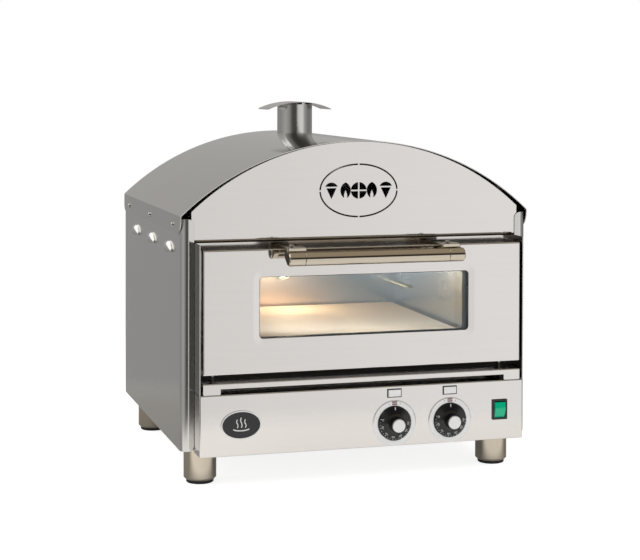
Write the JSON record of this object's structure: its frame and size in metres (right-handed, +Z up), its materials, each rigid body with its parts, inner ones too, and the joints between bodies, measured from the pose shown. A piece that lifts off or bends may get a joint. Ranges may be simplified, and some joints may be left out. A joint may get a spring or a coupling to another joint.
{
  "type": "countertop pizza oven",
  "caption": "Single-deck electric countertop pizza oven: arched canopy with flue, drop-down glazed door, stone deck, rotary controls and a rocker switch.",
  "frame": {"origin": "bottom centre of the whole object, on the worktop, midway between the handle's front and the canopy's rear edge", "axes": "+X to the right seen from the front, -Y out of the front (towards the person using it), +Z up"},
  "size_m": [0.5808, 0.6054, 0.5834],
  "materials": {
    "front_steel": "bright smooth stainless sheet, near-mirror with a faint grain",
    "case_steel": "satin brushed stainless sheet",
    "inner_steel": "heat-tinted stainless sheet",
    "turned_steel": "turned stainless with bright bands",
    "zinc_steel": "zinc plated fasteners",
    "stone": "fine-grained refractory stone",
    "wool": "mineral wool",
    "element": "dark oxidised heater sheath",
    "clear_glass": "clear toughened glass",
    "lamp_glass": "clear domed lamp glass",
    "lamp": "ceramic holder and warm bulb",
    "seal": "black silicone",
    "rope": "woven heat-proof rope",
    "black_plastic": "gloss black thermoset",
    "matt_plastic": "black moulded plastic",
    "green_lens": "green translucent rocker, lit",
    "pilot_clear": "clear ribbed lens",
    "bright_disc": "fine spun bright metal",
    "badge_black": "black enamel",
    "brass": "brass contacts",
    "pale_plastic": "pale terminal plastic",
    "wire": "insulated leads"
  },
  "bodies": {
    "oven": {"left_side_panel": "case_steel", "right_side_panel": "case_steel", "canopy": "case_steel", "casing_screws": "zinc_steel", "arch_panel": "front_steel", "rear_panel": "case_steel", "base_pan": "case_steel", "leg_sleeves": "turned_steel", "foot_pads": "seal", "leg_bolts": "zinc_steel", "flue_pipe": "case_steel", "flue_hat": "case_steel", "flue_collar": "case_steel", "door_surround": "front_steel", "cheeks": "front_steel", "sill_rail": "front_steel", "control_panel": "front_steel", "oven_liner": "inner_steel", "insulation": "wool", "chassis_members": "zinc_steel", "pizza_stone": "stone", "stone_rails": "inner_steel", "upper_element": "element", "lower_element": "element", "element_clips": "inner_steel", "lamp_lens": "lamp_glass", "lamp_holder": "lamp", "door_gasket": "rope", "hinge_plates": "front_steel", "door_magnets": "matt_plastic", "dial_rings": "bright_disc", "thermostats": "zinc_steel", "sensor_lines": "brass", "pilot_bezels": "matt_plastic", "pilot_lenses": "pilot_clear", "switch_bezel": "black_plastic", "badge_plate": "badge_black", "badge_rim": "bright_disc", "power_inlet": "matt_plastic", "terminal_block": "pale_plastic", "wiring": "wire"},
    "door": {"door_outer_skin": "front_steel", "door_inner_skin": "inner_steel", "outer_glass": "clear_glass", "inner_glass": "clear_glass", "glazing_seals": "seal", "hinge_pins": "turned_steel", "hinge_blocks": "zinc_steel", "handle_bar": "turned_steel", "handle_caps": "turned_steel", "handle_brackets": "turned_steel", "handle_supports": "turned_steel", "handle_screws": "zinc_steel"},
    "left_dial": {"left_knob": "black_plastic", "left_knob_cap": "bright_disc", "left_knob_shaft": "turned_steel"},
    "right_dial": {"right_knob": "black_plastic", "right_knob_cap": "bright_disc", "right_knob_shaft": "turned_steel"},
    "switch_rocker": {"rocker": "green_lens"}
  },
  "joints": [
    {"name": "door_hinge", "type": "hinge", "parent": "oven", "child": "door", "pos_m": [0, -0.22052, 0.19], "axis": [1, 0, 0], "range_deg": [0, 90]},
    {"name": "left_knob_turn", "type": "hinge", "parent": "oven", "child": "left_dial", "pos_m": [0.0465, -0.23852, 0.091], "axis": [0, 1, 0], "range_deg": [0, 290]},
    {"name": "right_knob_turn", "type": "hinge", "parent": "oven", "child": "right_dial", "pos_m": [0.138, -0.23852, 0.091], "axis": [0, 1, 0], "range_deg": [0, 290]},
    {"name": "rocker_tilt", "type": "hinge", "parent": "oven", "child": "switch_rocker", "pos_m": [0.222, -0.23353, 0.1028], "axis": [-1, 0, 0], "range_deg": [0, 16]}
  ]
}
